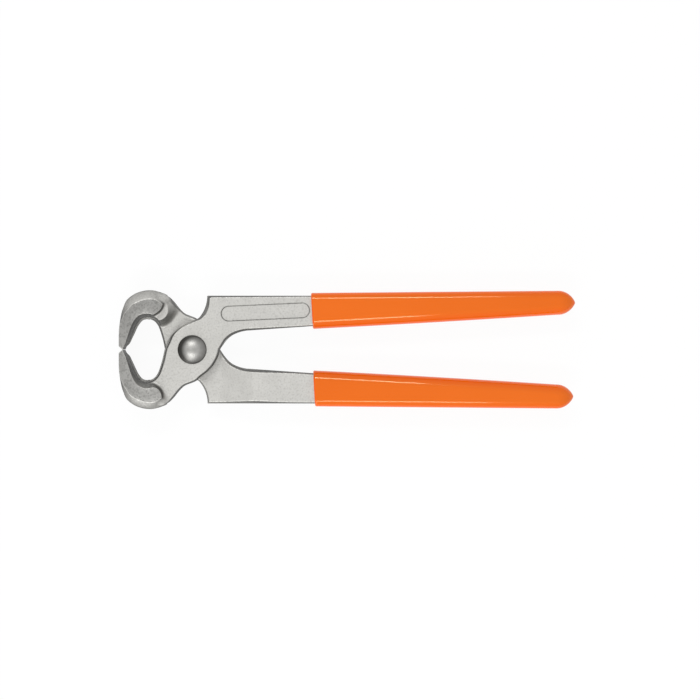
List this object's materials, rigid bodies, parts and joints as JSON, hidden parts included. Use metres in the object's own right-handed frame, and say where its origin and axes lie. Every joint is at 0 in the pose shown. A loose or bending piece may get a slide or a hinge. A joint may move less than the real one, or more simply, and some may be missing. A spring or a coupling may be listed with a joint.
{
  "type": "end cutting nippers",
  "caption": "End cutting nippers with two lapped forged levers on a domed rivet, broad curved jaws with bevelled cutting edges, and dipped grips on the handles.",
  "frame": {"origin": "on the resting plane of the jaws' side faces, under the middle of the closed tool's length, on its centre line", "axes": "+X from the jaws along the closed handles, +Y across the tool towards the front lever's handle, +Z along the rivet towards the front lever"},
  "size_m": [0.2534, 0.066, 0.024],
  "materials": {
    "lever_steel": "satin plated forging with fine ground jaw sides",
    "rivet_steel": "smooth bright rivet heads",
    "grip_plastic": "smooth dipped orange coating, semi gloss"
  },
  "bodies": {
    "front_half": {"front_lever": "lever_steel", "pivot_rivet": "rivet_steel", "front_grip": "grip_plastic"},
    "rear_half": {"rear_lever": "lever_steel", "rear_grip": "grip_plastic"}
  },
  "joints": [
    {"name": "rivet_hinge", "type": "hinge", "parent": "front_half", "child": "rear_half", "pos_m": [-0.0863, 0, 0.012], "axis": [0, 0, -1], "range_deg": [0, 30]}
  ]
}
